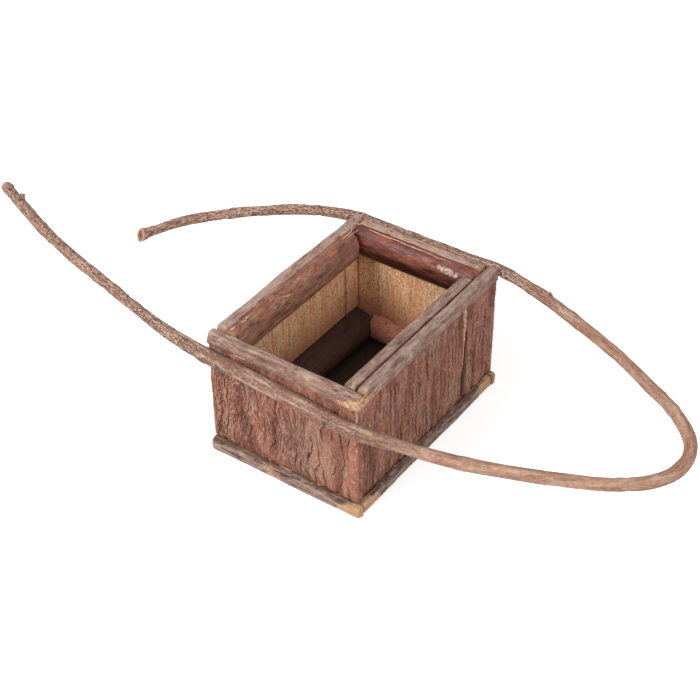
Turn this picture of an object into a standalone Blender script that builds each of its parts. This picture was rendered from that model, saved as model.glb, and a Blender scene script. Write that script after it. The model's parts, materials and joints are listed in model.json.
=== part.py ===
"""Rustic planter box with a bent vine round it.

Four thin board walls carry bark outside. Split branches cap the rim, line it inside on three walls,
and run round the base, inside and outside. One long vine, bent into a hairpin, is nailed along the
front and the back wall.
Units are metres and +Z is up. The origin is the middle of the box's underside. The front wall faces
-Y, and the bend of the vine is on the +X side.
"""

import math

import bmesh
import bpy
from mathutils import Matrix, Vector, noise

MM = 0.001

# ---- The box, measured over the split branches ----
BOX_WIDTH = 94.6 * MM
BOX_DEPTH = 132 * MM
BOX_HEIGHT = 80 * MM
FIT_GAP = 0.3 * MM

# ---- Walls and floor ----
BARK_THICKNESS = 3.0 * MM
BARK_RECESS = 0.1 * MM
BARK_FURROW_DEPTH = 1.4 * MM
BARK_FURROW_SPACING = {"front": 5.2 * MM, "right": 3.6 * MM, "back": 5.2 * MM, "left": 4.4 * MM}
BARK_FURROW_WANDER = 20 * MM
BARK_FURROW_LENGTH = 45 * MM
BARK_COLUMN_WIDTH = 1.5 * MM
BARK_ROW_HEIGHT = 8 * MM
BARK_EDGE_ROUND = 1.2 * MM
BOARD_THICKNESS = 3.8 * MM
FLOOR_THICKNESS = 4.0 * MM
RIGHT_FAR_BARK_WIDTH = 31 * MM
LEFT_FAR_BOARD_WIDTH = 19 * MM

# ---- Split branches ----
RIM_STRIP_HEIGHT = 8.0 * MM
BASE_STRIP_HEIGHT = 8.5 * MM
BASE_STRIP_PROUD = {"front": 2.0 * MM, "right": 1.6 * MM, "back": 1.2 * MM, "left": 0.4 * MM}
RIM_RAIL_HEIGHT = 19.5 * MM
RIM_RAIL_DROP = 1.0 * MM
RIM_RAIL_BULGE = {"right": 8.6 * MM, "back": 7.6 * MM, "left": 8.6 * MM}
BASE_RAIL_HEIGHT = 17.5 * MM
BASE_RAIL_BULGE = {"front": 8.5 * MM, "right": 15.3 * MM, "back": 8.5 * MM, "left": 15.3 * MM}
BASE_RAIL_LAP = 4.0 * MM
BRANCH_WEAR = 0.09
BRANCH_WEAR_LENGTH = 18 * MM
BRANCH_WEAR_WIDTH = 6 * MM
BRANCH_RING_SPACING = 11 * MM
BRANCH_END_ROUND = 1.4 * MM
BRANCH_END_SHARE = 0.85
RAIL_SQUARENESS = 2.2
RIM_SQUARENESS = 2.8
BASE_SQUARENESS = 4.0

# ---- The vine ----
VINE_RADIUS = 3.4 * MM
VINE_FRONT_RADIUS = 4.1 * MM
NEAR_LEG_REACH = 176 * MM
FAR_LEG_REACH = 92 * MM
BEND_REACH = 142 * MM
FRONT_DROP_LEFT = 11.2 * MM
FRONT_DROP_RIGHT = 16.8 * MM
BACK_DROP_RIGHT = 5.8 * MM
BACK_DROP_LEFT = 7.2 * MM

# ---- Nails and pins ----
NAIL_RADIUS = 0.6 * MM
NAIL_HEAD_RADIUS = 1.15 * MM
NAIL_HEAD_HEIGHT = 0.5 * MM
NAIL_TIP_LENGTH = 1.2 * MM
NAIL_BITE = 3.0 * MM
VINE_NAIL_INSET = 14.3 * MM
RIM_PIN_INSET = 22 * MM
RIM_PIN_BITE = 4.5 * MM
BASE_PIN_INSET = 14 * MM
BASE_PIN_BITE = 2.4 * MM

# Each wall is drawn as the front wall, facing -Y, and turned about Z to its side.
WALL_TURN = {"front": 0, "right": 90, "back": 180, "left": 270}
WALL_REACH = {"front": BOX_DEPTH / 2, "back": BOX_DEPTH / 2, "left": BOX_WIDTH / 2, "right": BOX_WIDTH / 2}
WALL_RUN = {"front": BOX_WIDTH, "back": BOX_WIDTH, "left": BOX_DEPTH, "right": BOX_DEPTH}

# Depths into a wall, from the outer face of its strips.
BARK_BACK = BARK_RECESS + BARK_THICKNESS
BOARD_FACE = BARK_BACK + FIT_GAP
BOARD_BACK = BOARD_FACE + BOARD_THICKNESS
RAIL_FLAT = BOARD_BACK + FIT_GAP
WALL_TOP = BOX_HEIGHT - RIM_STRIP_HEIGHT - FIT_GAP

# Joints between two pieces of one wall, along its run. The left wall's run goes from back to front.
RIGHT_BARK_JOINT = BOX_DEPTH / 2 - RIGHT_FAR_BARK_WIDTH
LEFT_BOARD_JOINT = LEFT_FAR_BOARD_WIDTH - BOX_DEPTH / 2

parts = bpy.data.collections.new("rustic_planter_box")
cutters = bpy.data.collections.new("cutters")


def clear_scene():
    for obj in list(bpy.data.objects):
        bpy.data.objects.remove(obj)
    for collection in (parts, cutters):
        bpy.context.scene.collection.children.link(collection)


def make_material(name, colour, roughness, metallic=0.0):
    material = bpy.data.materials.new(name)
    material.use_nodes = True
    shader = material.node_tree.nodes["Principled BSDF"]
    shader.inputs["Base Color"].default_value = (*colour, 1)
    shader.inputs["Roughness"].default_value = roughness
    shader.inputs["Metallic"].default_value = metallic
    return material


def make_materials():
    return {
        "furrowed_bark": make_material("furrowed_bark", (0.26, 0.125, 0.085), 0.85),
        "pale_board": make_material("pale_board", (0.50, 0.30, 0.15), 0.7),
        "weathered_branch": make_material("weathered_branch", (0.27, 0.18, 0.13), 0.75),
        "smooth_red_branch": make_material("smooth_red_branch", (0.19, 0.07, 0.045), 0.45),
        "vine_bark": make_material("vine_bark", (0.32, 0.19, 0.135), 0.7),
        "nail_steel": make_material("nail_steel", (0.16, 0.13, 0.115), 0.5, 0.9),
    }


def add_object(name, data, material, collection=parts):
    obj = bpy.data.objects.new(name, data)
    collection.objects.link(obj)
    if material:
        data.materials.append(material)
    return obj


def on_wall(obj, wall, along=0.0, depth=0.0, height=0.0, tip=0.0):
    """Places an object that was made for the front wall: tipped about X, then turned to its wall."""
    turn = math.radians(WALL_TURN[wall])
    point = Vector((along, depth - WALL_REACH[wall], height))
    obj.location = Matrix.Rotation(turn, 3, "Z") @ point
    obj.rotation_euler = (math.radians(tip), 0, turn)
    return obj


def cut_away(piece, name, cutter):
    cut = piece.modifiers.new(name, "BOOLEAN")
    cut.operation = "DIFFERENCE"
    cut.object = cutter
    cut.solver = "EXACT"


# ---- Boards -------------------------------------------------------------------------------------


def board(name, size, material):
    """A plain sawn board centred on its own origin."""
    mesh = bpy.data.meshes.new(name)
    bm = bmesh.new()
    bmesh.ops.create_cube(bm, size=1)
    bmesh.ops.scale(bm, vec=size, verts=bm.verts)
    bm.to_mesh(mesh)
    bm.free()
    return add_object(name, mesh, material)


def add_floor(material):
    width = BOX_WIDTH - 2 * RAIL_FLAT
    depth = BOX_DEPTH - 2 * RAIL_FLAT
    floor = board("floor_board", (width, depth, FLOOR_THICKNESS), material)
    floor.location.z = FLOOR_THICKNESS / 2


def add_wall_board(name, wall, start, end, material):
    """A wall board from start to end along its wall, standing on the ground under the rim strip."""
    piece = board(name, (end - start, BOARD_THICKNESS, WALL_TOP), material)
    on_wall(piece, wall, (start + end) / 2, BOARD_FACE + BOARD_THICKNESS / 2, WALL_TOP / 2)


def add_wall_boards(material):
    # The end boards stand between the side boards.
    end_half = BOX_WIDTH / 2 - RAIL_FLAT
    side_half = BOX_DEPTH / 2 - BOARD_FACE
    for wall in ("front", "back"):
        add_wall_board(f"board_{wall}", wall, -end_half, end_half, material)
    add_wall_board("board_right", "right", -side_half, side_half, material)
    add_wall_board("board_left_far", "left", -side_half, LEFT_BOARD_JOINT - FIT_GAP / 2, material)
    add_wall_board("board_left_near", "left", LEFT_BOARD_JOINT + FIT_GAP / 2, side_half, material)


# ---- Bark ---------------------------------------------------------------------------------------


def furrow_depth(along, height, spacing, seed):
    """How far the bark is sunk at a point: long upright furrows that wander and break off."""
    bend = noise.noise(Vector((along, height, seed * BARK_FURROW_WANDER)) / BARK_FURROW_WANDER)
    across = along / spacing + bend
    ridge = noise.noise(Vector((across, height / BARK_FURROW_LENGTH, seed)))
    return BARK_FURROW_DEPTH * min(1.0, max(0.0, 0.3 - 1.4 * ridge))


def bark_panel(name, wall, start, end, seed, material):
    """A sheet of bark: a flat back, a furrowed face and rounded edges."""
    bottom = BASE_STRIP_HEIGHT + FIT_GAP
    width = end - start
    height = WALL_TOP - bottom
    columns = max(2, round(width / BARK_COLUMN_WIDTH))
    rows = max(2, round(height / BARK_ROW_HEIGHT))
    mesh = bpy.data.meshes.new(name)
    bm = bmesh.new()
    bmesh.ops.create_grid(bm, x_segments=columns, y_segments=rows, size=0.5)
    for vert in bm.verts:
        across, up = vert.co.x * width, (vert.co.y + 0.5) * height
        edge = min(width / 2 - abs(across), up, height - up)
        rounded = max(0.0, BARK_EDGE_ROUND - edge) / 2
        sunk = furrow_depth(across, up, BARK_FURROW_SPACING[wall], seed)
        vert.co = (across, sunk + rounded, up)
    rim = [edge for edge in bm.edges if edge.is_boundary]
    sides = bmesh.ops.extrude_edge_only(bm, edges=rim)["geom"]
    for vert in (item for item in sides if isinstance(item, bmesh.types.BMVert)):
        vert.co.y = BARK_THICKNESS
    bmesh.ops.holes_fill(bm, edges=[edge for edge in bm.edges if edge.is_boundary], sides=0)
    bmesh.ops.recalc_face_normals(bm, faces=bm.faces)
    bm.to_mesh(mesh)
    bm.free()
    piece = add_object(name, mesh, material)
    on_wall(piece, wall, (start + end) / 2, BARK_RECESS, bottom)


def add_bark(material):
    # The side sheets reach both ends of the box, and the end sheets fit between them.
    side_half = BOX_DEPTH / 2 - BARK_RECESS
    end_half = BOX_WIDTH / 2 - BARK_BACK - FIT_GAP
    bark_panel("bark_front", "front", -end_half, end_half, 1.0, material)
    bark_panel("bark_back", "back", -end_half, end_half, 2.0, material)
    bark_panel("bark_left", "left", -side_half, side_half, 3.0, material)
    bark_panel("bark_right_near", "right", -side_half, RIGHT_BARK_JOINT - FIT_GAP / 2, 4.0, material)
    bark_panel("bark_right_far", "right", RIGHT_BARK_JOINT + FIT_GAP / 2, side_half, 5.0, material)


# ---- Split branches -----------------------------------------------------------------------------


def half_round(width, bulge, squareness, points=9):
    """The section of a split branch: flat side down, from one edge over the bark to the other."""
    outline = []
    for i in range(points):
        angle = math.pi * i / (points - 1)
        x = math.copysign(abs(math.cos(angle)) ** (2 / squareness), math.cos(angle))
        y = math.sin(angle) ** (2 / squareness) if 0 < i < points - 1 else 0.0
        outline.append((x * width / 2, y * bulge))
    return outline


def profile_curve(name, outline):
    curve = bpy.data.curves.new(name, "CURVE")
    curve.dimensions = "2D"
    curve.fill_mode = "NONE"
    spline = curve.splines.new("POLY")
    spline.points.add(len(outline) - 1)
    for point, (x, y) in zip(spline.points, outline):
        point.co = (x, y, 0, 1)
    spline.use_cyclic_u = True
    return curve


def to_mesh_object(obj, material):
    """Turns a curve object into a mesh object of the same name, with its end caps welded on."""
    bpy.context.view_layer.update()
    name = obj.name
    mesh = bpy.data.meshes.new_from_object(obj.evaluated_get(bpy.context.evaluated_depsgraph_get()))
    bm = bmesh.new()
    bm.from_mesh(mesh)
    bmesh.ops.remove_doubles(bm, verts=bm.verts, dist=1e-6)
    bmesh.ops.recalc_face_normals(bm, faces=bm.faces)
    bm.to_mesh(mesh)
    bm.free()
    place = obj.matrix_world.copy()
    bpy.data.objects.remove(obj)
    mesh.materials.clear()
    piece = add_object(name, mesh, material)
    piece.matrix_world = place
    return piece


def split_branch(name, length, width, bulge, squareness, seed, material):
    """A branch split down its middle, along X. The flat side lies in Z = 0 and the bark side is up."""
    section = add_object("section", profile_curve("section", half_round(width, bulge, squareness)), None)
    curve = bpy.data.curves.new(name, "CURVE")
    curve.dimensions = "3D"
    straight = length - 2 * BRANCH_END_ROUND
    steps = max(3, round(straight / BRANCH_RING_SPACING))
    places = [straight * (i / steps - 0.5) for i in range(steps + 1)]
    places = [-length / 2, *places, length / 2]
    spline = curve.splines.new("POLY")
    spline.points.add(len(places) - 1)
    for point, x in zip(spline.points, places):
        point.co = (x, 0, 0, 1)
        point.radius = 1 if abs(x) < length / 2 else BRANCH_END_SHARE
    curve.bevel_mode = "OBJECT"
    curve.bevel_object = section
    curve.use_fill_caps = True
    stick = to_mesh_object(add_object(name, curve, None), material)
    bpy.data.objects.remove(section)
    for vert in stick.data.vertices:
        place = Vector((vert.co.x / BRANCH_WEAR_LENGTH, vert.co.y / BRANCH_WEAR_WIDTH, seed))
        worn = 1 - BRANCH_WEAR * (0.5 + 0.5 * noise.noise(place))
        vert.co.y *= worn
        vert.co.z *= worn
    stick.data.shade_smooth()
    stick.data.set_sharp_from_angle(angle=math.radians(40))
    return stick


def add_rim_strips(material):
    """The four split branches that cap the walls, level with the bark outside and the boards inside."""
    end_half, side_half = BOX_WIDTH / 2, BOX_DEPTH / 2
    runs = {
        "front": (-end_half, end_half),
        "right": (-side_half + BOARD_BACK + FIT_GAP, side_half),
        "back": (-end_half + BOARD_BACK + FIT_GAP, end_half - BOARD_BACK - FIT_GAP),
        "left": (-side_half, side_half - BOARD_BACK - FIT_GAP),
    }
    for seed, (wall, (start, end)) in enumerate(runs.items()):
        strip = split_branch(
            f"rim_strip_{wall}", end - start, BOARD_BACK, RIM_STRIP_HEIGHT, RIM_SQUARENESS, seed + 10.5,
            material,
        )
        on_wall(strip, wall, (start + end) / 2, BOARD_BACK / 2, BOX_HEIGHT - RIM_STRIP_HEIGHT)


def add_base_strips(material):
    """The four split branches nailed round the foot of the walls, under the bark and a little proud of it."""
    left, right = (BOX_WIDTH / 2 + BASE_STRIP_PROUD[wall] for wall in ("left", "right"))
    side_half = BOX_DEPTH / 2 - BARK_BACK - FIT_GAP
    runs = {
        "front": (-left, right),
        "right": (-side_half, side_half),
        "back": (-right, left),
        "left": (-side_half, side_half),
    }
    for seed, (wall, (start, end)) in enumerate(runs.items()):
        strip = split_branch(
            f"base_strip_{wall}", end - start, BASE_STRIP_HEIGHT, BARK_BACK + BASE_STRIP_PROUD[wall],
            BASE_SQUARENESS, seed + 20.5, material,
        )
        on_wall(strip, wall, (start + end) / 2, BARK_BACK, BASE_STRIP_HEIGHT / 2, tip=90)


def rim_rail_middle():
    return BOX_HEIGHT - RIM_RAIL_DROP - RIM_RAIL_HEIGHT / 2


def rim_rail_runs():
    """Where each rim rail starts and ends along its wall. The front wall has none."""
    end_half, side_half = BOX_WIDTH / 2 - RAIL_FLAT, BOX_DEPTH / 2 - RAIL_FLAT
    short = side_half - RIM_RAIL_BULGE["back"] - FIT_GAP
    return {"right": (-side_half, short), "back": (-end_half, end_half), "left": (-short, side_half)}


def add_rim_rails(plain, red):
    """Thicker split branches inside the rim. The back one runs through, and the side ones meet it."""
    for seed, (wall, (start, end)) in enumerate(rim_rail_runs().items()):
        rail = split_branch(
            f"rim_rail_{wall}", end - start, RIM_RAIL_HEIGHT, RIM_RAIL_BULGE[wall], RAIL_SQUARENESS,
            seed + 30.5, red if wall == "back" else plain,
        )
        on_wall(rail, wall, (start + end) / 2, RAIL_FLAT, rim_rail_middle(), tip=-90)


def thicker_copy(rail):
    """A copy of a rail, thicker all round by the fit gap, that cuts its neighbours to fit its back."""
    mesh = rail.data.copy()
    growth = 1 + FIT_GAP / (BASE_RAIL_HEIGHT / 2)
    mesh.transform(Matrix.Diagonal((1.01, growth, growth, 1)))
    cutter = add_object(f"cope_{rail.name}", mesh, None, cutters)
    cutter.location, cutter.rotation_euler = rail.location, rail.rotation_euler
    cutter.hide_render = True
    cutter.display_type = "WIRE"
    return cutter


def add_base_rails(material):
    """The thickest split branches, inside the foot of the walls. The side ones run through, and the
    ends of the other two are coped to lap over them."""
    runs = {
        "left": BOX_DEPTH - 2 * RAIL_FLAT,
        "right": BOX_DEPTH - 2 * RAIL_FLAT,
        "front": BOX_WIDTH - 2 * (RAIL_FLAT + BASE_RAIL_BULGE["left"] - BASE_RAIL_LAP),
        "back": BOX_WIDTH - 2 * (RAIL_FLAT + BASE_RAIL_BULGE["left"] - BASE_RAIL_LAP),
    }
    middle = FLOOR_THICKNESS + FIT_GAP + BASE_RAIL_HEIGHT / 2
    copes = {}
    for seed, (wall, length) in enumerate(runs.items()):
        rail = split_branch(
            f"base_rail_{wall}", length, BASE_RAIL_HEIGHT, BASE_RAIL_BULGE[wall], RAIL_SQUARENESS,
            seed + 40.5, material,
        )
        on_wall(rail, wall, 0, RAIL_FLAT, middle, tip=-90)
        if wall in ("left", "right"):
            copes[wall] = thicker_copy(rail)
        else:
            for side, cutter in copes.items():
                cut_away(rail, f"cope_{side}", cutter)


# ---- The vine -----------------------------------------------------------------------------------

# Free stretches, as (share of the reach past the box, share of the leg's distance from the middle
# of the box, drop below the rim in millimetres, thickness against VINE_RADIUS).
NEAR_LEG = (
    (1.00, 0.39, 0.0, 0.90), (0.87, 0.51, 1.6, 1.00), (0.73, 0.63, 3.5, 0.95), (0.59, 0.73, 5.2, 0.98),
    (0.45, 0.80, 7.0, 0.92), (0.31, 0.88, 8.5, 0.95), (0.17, 0.95, 10.0, 1.00),
)
BEND = (
    (0.17, -0.94, 17.5, 0.98), (0.35, -0.86, 17.9, 1.05), (0.53, -0.74, 17.8, 1.02),
    (0.70, -0.60, 17.5, 1.02), (0.86, -0.44, 17.0, 1.00), (0.97, -0.23, 16.5, 1.03),
    (1.00, -0.05, 16.0, 1.06), (0.985, 0.14, 15.4, 1.04), (0.90, 0.34, 14.5, 1.00),
    (0.72, 0.54, 12.6, 0.98), (0.555, 0.69, 11.0, 0.93), (0.385, 0.81, 9.5, 0.92),
    (0.205, 0.92, 8.0, 0.95),
)
FAR_LEG = (
    (0.28, 0.89, 8.0, 0.94), (0.50, 0.70, 8.6, 0.92), (0.70, 0.47, 9.4, 0.94), (0.88, 0.19, 10.0, 0.88),
    (1.00, -0.14, 10.5, 0.88),
)
WALL_STEPS = 4


def vine_line(radius):
    """Distance from the middle of the box to a stretch of vine that lies along a wall."""
    return BOX_DEPTH / 2 + FIT_GAP + radius


def front_height(x):
    share = x / BOX_WIDTH + 0.5
    return BOX_HEIGHT - FRONT_DROP_LEFT * (1 - share) - FRONT_DROP_RIGHT * share


def back_height(x):
    share = x / BOX_WIDTH + 0.5
    return BOX_HEIGHT - BACK_DROP_LEFT * (1 - share) - BACK_DROP_RIGHT * share


def free_stretch(rows, side, reach, line):
    return [
        (side * (BOX_WIDTH / 2 + reach * out), line * off, BOX_HEIGHT - drop * MM, thick)
        for out, off, drop, thick in rows
    ]


def vine_route():
    """The whole centre line, from the near free end round the bend to the far free end."""
    front, back = vine_line(VINE_FRONT_RADIUS), vine_line(VINE_RADIUS)
    along = [BOX_WIDTH * (i / WALL_STEPS - 0.5) for i in range(WALL_STEPS + 1)]
    swollen = VINE_FRONT_RADIUS / VINE_RADIUS
    route = free_stretch(NEAR_LEG, -1, NEAR_LEG_REACH, -front)
    route += [(x, -front, front_height(x), swollen) for x in along]
    route += free_stretch(BEND, 1, BEND_REACH, (front + back) / 2)
    route += [(x, back, back_height(x), 1.0) for x in reversed(along)]
    route += free_stretch(FAR_LEG, -1, FAR_LEG_REACH, back)
    return route


def add_vine(material):
    curve = bpy.data.curves.new("bent_vine", "CURVE")
    curve.dimensions = "3D"
    curve.resolution_u = 3
    curve.bevel_depth = VINE_RADIUS
    curve.bevel_resolution = 2
    curve.use_fill_caps = True
    spline = curve.splines.new("BEZIER")
    route = vine_route()
    spline.bezier_points.add(len(route) - 1)
    for point, (x, y, z, thick) in zip(spline.bezier_points, route):
        point.co = (x, y, z)
        point.radius = thick
        point.handle_left_type = point.handle_right_type = "AUTO"
    vine = to_mesh_object(add_object("bent_vine", curve, None), material)
    vine.data.shade_smooth()
    vine.data.set_sharp_from_angle(angle=math.radians(40))


# ---- Nails --------------------------------------------------------------------------------------


def nail(name, length, material):
    """A small round-head nail that points down -Z, with the underside of its head at Z = 0."""
    head = (
        (0, NAIL_HEAD_HEIGHT),
        (NAIL_HEAD_RADIUS * 0.8, NAIL_HEAD_HEIGHT * 0.8),
        (NAIL_HEAD_RADIUS, 0),
    )
    return turned_steel(name, head + shank(length), material)


def pin(name, length, material):
    """A nail without a head, with its blunt end at Z = 0."""
    return turned_steel(name, ((0, 0), *shank(length)), material)


def shank(length):
    return (NAIL_RADIUS, 0), (NAIL_RADIUS, NAIL_TIP_LENGTH - length), (0, -length)


def turned_steel(name, outline, material):
    mesh = bpy.data.meshes.new(name)
    mesh.from_pydata([(x, 0, z) for x, z in outline], [(i, i + 1) for i in range(len(outline) - 1)], [])
    obj = add_object(name, mesh, material)
    turned = obj.modifiers.new("turned", "SCREW")
    turned.steps = turned.render_steps = 10
    turned.use_merge_vertices = True
    turned.merge_threshold = 1e-5
    turned.use_smooth_shade = True
    return obj


def nail_hole(name, length):
    mesh = bpy.data.meshes.new(name)
    bm = bmesh.new()
    bottom, top = -length - FIT_GAP, NAIL_HEAD_RADIUS * 2
    bmesh.ops.create_cone(
        bm, cap_ends=True, segments=10, radius1=NAIL_RADIUS + FIT_GAP, radius2=NAIL_RADIUS + FIT_GAP,
        depth=top - bottom,
    )
    bmesh.ops.translate(bm, vec=(0, 0, (top + bottom) / 2), verts=bm.verts)
    bm.to_mesh(mesh)
    bm.free()
    hole = add_object(name, mesh, None, cutters)
    hole.hide_render = True
    hole.display_type = "WIRE"
    return hole


def drive(fastener, length, wall, place, tip, pierced):
    """Sets a nail or pin, its upper end at place (along, depth, height), and bores its hole."""
    on_wall(fastener, wall, *place, tip)
    hole = on_wall(nail_hole(f"hole_{fastener.name}", length), wall, *place, tip)
    for piece in pierced:
        cut_away(bpy.data.objects[piece], fastener.name, hole)


def board_behind(wall, along):
    """The wall board that lies behind a point along a wall."""
    if wall != "left":
        return f"board_{wall}"
    return "board_left_far" if along < LEFT_BOARD_JOINT else "board_left_near"


def add_vine_nails(material):
    """Two nails to each wall: at the front through the bark into the board, at the back into the strip."""
    far = BOX_WIDTH / 2 - VINE_NAIL_INSET
    for number, x in enumerate((-far, far), 1):
        depth = -2 * VINE_FRONT_RADIUS - 2 * FIT_GAP
        length = BOARD_FACE + NAIL_BITE - depth
        drive(
            nail(f"nail_vine_front_{number}", length, material), length, "front",
            (x, depth, front_height(x)), 90, ("bent_vine", "bark_front", "board_front"),
        )
        depth = -2 * VINE_RADIUS - 2 * FIT_GAP
        length = NAIL_BITE - depth
        drive(
            nail(f"nail_vine_back_{number}", length, material), length, "back",
            (-x, depth, back_height(x)), 90, ("bent_vine", "rim_strip_back"),
        )


def add_rim_pins(material):
    """Two pins hold each rim rail. They were driven from outside, before the bark covered the board."""
    length = BOARD_THICKNESS + FIT_GAP + RIM_PIN_BITE
    for wall, (start, end) in rim_rail_runs().items():
        for number, along in enumerate((start + RIM_PIN_INSET, end - RIM_PIN_INSET), 1):
            drive(
                pin(f"pin_rim_{wall}_{number}", length, material), length, wall,
                (along, BOARD_FACE, rim_rail_middle()), 90, (f"rim_rail_{wall}", board_behind(wall, along)),
            )


def add_base_pins(material):
    """Two pins hold each base strip. They were driven from inside, before the base rails covered them."""
    length = BOARD_BACK - BARK_BACK + BASE_PIN_BITE
    for wall in WALL_TURN:
        far = WALL_RUN[wall] / 2 - BASE_PIN_INSET
        for number, along in enumerate((-far, far), 1):
            drive(
                pin(f"pin_base_{wall}_{number}", length, material), length, wall,
                (along, BOARD_BACK, BASE_STRIP_HEIGHT / 2), -90,
                (f"base_strip_{wall}", board_behind(wall, along)),
            )


clear_scene()
materials = make_materials()
add_floor(materials["pale_board"])
add_wall_boards(materials["pale_board"])
add_bark(materials["furrowed_bark"])
add_rim_strips(materials["weathered_branch"])
add_base_strips(materials["weathered_branch"])
add_rim_rails(materials["weathered_branch"], materials["smooth_red_branch"])
add_base_rails(materials["weathered_branch"])
add_vine(materials["vine_bark"])
add_vine_nails(materials["nail_steel"])
add_rim_pins(materials["nail_steel"])
add_base_pins(materials["nail_steel"])
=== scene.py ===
"""The looks of a rustic planter box: bark walls, split-branch edging and a bent vine nailed round it.

Metres, +Z up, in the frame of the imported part. Each CAD node has a grown piece in its place, but for
the hidden pins, which stay as they are.
"""

import json
import math

import bpy
from mathutils import Matrix, Vector
from mathutils.bvhtree import BVHTree

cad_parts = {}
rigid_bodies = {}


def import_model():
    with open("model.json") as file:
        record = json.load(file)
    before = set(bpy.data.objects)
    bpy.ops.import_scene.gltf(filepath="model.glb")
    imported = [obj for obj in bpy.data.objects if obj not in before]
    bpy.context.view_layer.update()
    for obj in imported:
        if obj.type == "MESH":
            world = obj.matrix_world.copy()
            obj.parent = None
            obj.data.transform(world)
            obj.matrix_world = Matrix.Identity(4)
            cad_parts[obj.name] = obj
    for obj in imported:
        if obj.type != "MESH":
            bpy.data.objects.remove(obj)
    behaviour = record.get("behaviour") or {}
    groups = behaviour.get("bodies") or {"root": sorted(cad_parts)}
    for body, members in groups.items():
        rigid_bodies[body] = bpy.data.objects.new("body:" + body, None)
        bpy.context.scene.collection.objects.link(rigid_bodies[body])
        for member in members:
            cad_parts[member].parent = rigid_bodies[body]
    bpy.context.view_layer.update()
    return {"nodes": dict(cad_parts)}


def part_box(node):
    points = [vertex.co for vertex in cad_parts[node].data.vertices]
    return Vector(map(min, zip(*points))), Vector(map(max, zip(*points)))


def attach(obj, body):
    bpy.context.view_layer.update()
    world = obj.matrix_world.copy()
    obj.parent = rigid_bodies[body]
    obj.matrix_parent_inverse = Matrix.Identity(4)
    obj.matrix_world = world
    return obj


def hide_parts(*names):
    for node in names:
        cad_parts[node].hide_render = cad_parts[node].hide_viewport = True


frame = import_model()
MM = 0.001


# ---- Boards -------------------------------------------------------------------------------------
# The box itself: a floor and four walls of thin sawn softwood, butted together and nailed. The grain
# stands upright in the walls. The left wall is made of two boards, with an open joint between them.


class Field:
    """A value in a node tree, worked with like a number. It can also stand for a geometry."""

    def __init__(self, tree, socket):
        self.tree = tree
        self.socket = socket

    def work(self, operation, *others):
        """Math on this value, by the name that Blender gives the operation."""
        return add(self.tree, "ShaderNodeMath", dict(enumerate((self, *others))), operation=operation)

    def __add__(self, other):
        return self.work("ADD", other)

    def __sub__(self, other):
        return self.work("SUBTRACT", other)

    def __mul__(self, other):
        return self.work("MULTIPLY", other)

    def __truediv__(self, other):
        return self.work("DIVIDE", other)

    def __pow__(self, other):
        return self.work("POWER", other)

    def __rsub__(self, other):
        return self * -1 + other

    def __abs__(self):
        return self.work("ABSOLUTE")

    __radd__ = __add__
    __rmul__ = __mul__

    def ramp(self, low, high):
        """Rises smoothly from 0 at low to 1 at high, or falls where low is the greater."""
        values = {"Value": self, "From Min": low, "From Max": high}
        return add(self.tree, "ShaderNodeMapRange", values, interpolation_type="SMOOTHSTEP")

    def split(self):
        """The X, Y and Z of a vector."""
        node = add(self.tree, "ShaderNodeSeparateXYZ", {0: self}).socket.node
        return [Field(self.tree, socket) for socket in node.outputs]


def add(tree, kind, values=None, out=0, **settings):
    """Adds a node, sets its options, feeds its inputs by name or number, and gives one output."""
    node = tree.nodes.new(kind)
    node.location = (180 * len(tree.nodes), 0)
    for name, value in settings.items():
        setattr(node, name, value)
    for key, value in (values or {}).items():
        if isinstance(value, Field):
            tree.links.new(value.socket, node.inputs[key])
        else:
            node.inputs[key].default_value = value
    return Field(tree, node.outputs[out])


def vector(tree, x, y, z):
    """A vector of three values or numbers."""
    return add(tree, "ShaderNodeCombineXYZ", {0: x, 1: y, 2: z})


def scaled(place, along, across):
    """A place along (X) and across (Y, Z) the grain, counted in pattern sizes of those lengths."""
    x, y, z = place.split()
    return vector(place.tree, x / along, y / across, z / across)


def noise(place, seed=0.0, detail=2.0, roughness=0.5):
    """Noise from 0 to 1 with a pattern size of 1, around 0.5."""
    values = {"Vector": place, "W": seed, "Scale": 1.0, "Detail": detail, "Roughness": roughness}
    return add(place.tree, "ShaderNodeTexNoise", values, noise_dimensions="4D")


def cells(place):
    """The distance to the middle of the nearest of many cells of size 1."""
    return add(place.tree, "ShaderNodeTexVoronoi", {"Vector": place, "Scale": 1.0})


def new_tree(name, sizes):
    """A geometry tree with these named sizes, a seed and a material as its inputs."""
    tree = bpy.data.node_groups.new(name, "GeometryNodeTree")
    tree.interface.new_socket("Geometry", in_out="INPUT", socket_type="NodeSocketGeometry")
    for label, value in {**sizes, "Seed": 0.0}.items():
        socket = tree.interface.new_socket(label, in_out="INPUT", socket_type="NodeSocketFloat")
        socket.default_value = value
    tree.interface.new_socket("Material", in_out="INPUT", socket_type="NodeSocketMaterial")
    tree.interface.new_socket("Geometry", in_out="OUTPUT", socket_type="NodeSocketGeometry")
    inlet = tree.nodes.new("NodeGroupInput")
    return tree, {socket.name: Field(tree, socket) for socket in inlet.outputs if socket.name}


def store(shape, name, value, data_type="FLOAT"):
    """Keeps a value on the mesh under a name, for its material or for a later step."""
    values = {"Geometry": shape, "Name": name, "Value": value}
    return add(shape.tree, "GeometryNodeStoreNamedAttribute", values, data_type=data_type)


def end_tree(shape, given):
    """Ends a tree with real geometry, smooth shading and the material."""
    tree = shape.tree
    shape = add(tree, "GeometryNodeRealizeInstances", {"Geometry": shape})
    shape = add(tree, "GeometryNodeSetShadeSmooth", {"Geometry": shape})
    shape = add(tree, "GeometryNodeSetMaterial", {"Geometry": shape, "Material": given["Material"]})
    outlet = tree.nodes.new("NodeGroupOutput")
    tree.links.new(shape.socket, outlet.inputs[0])


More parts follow.
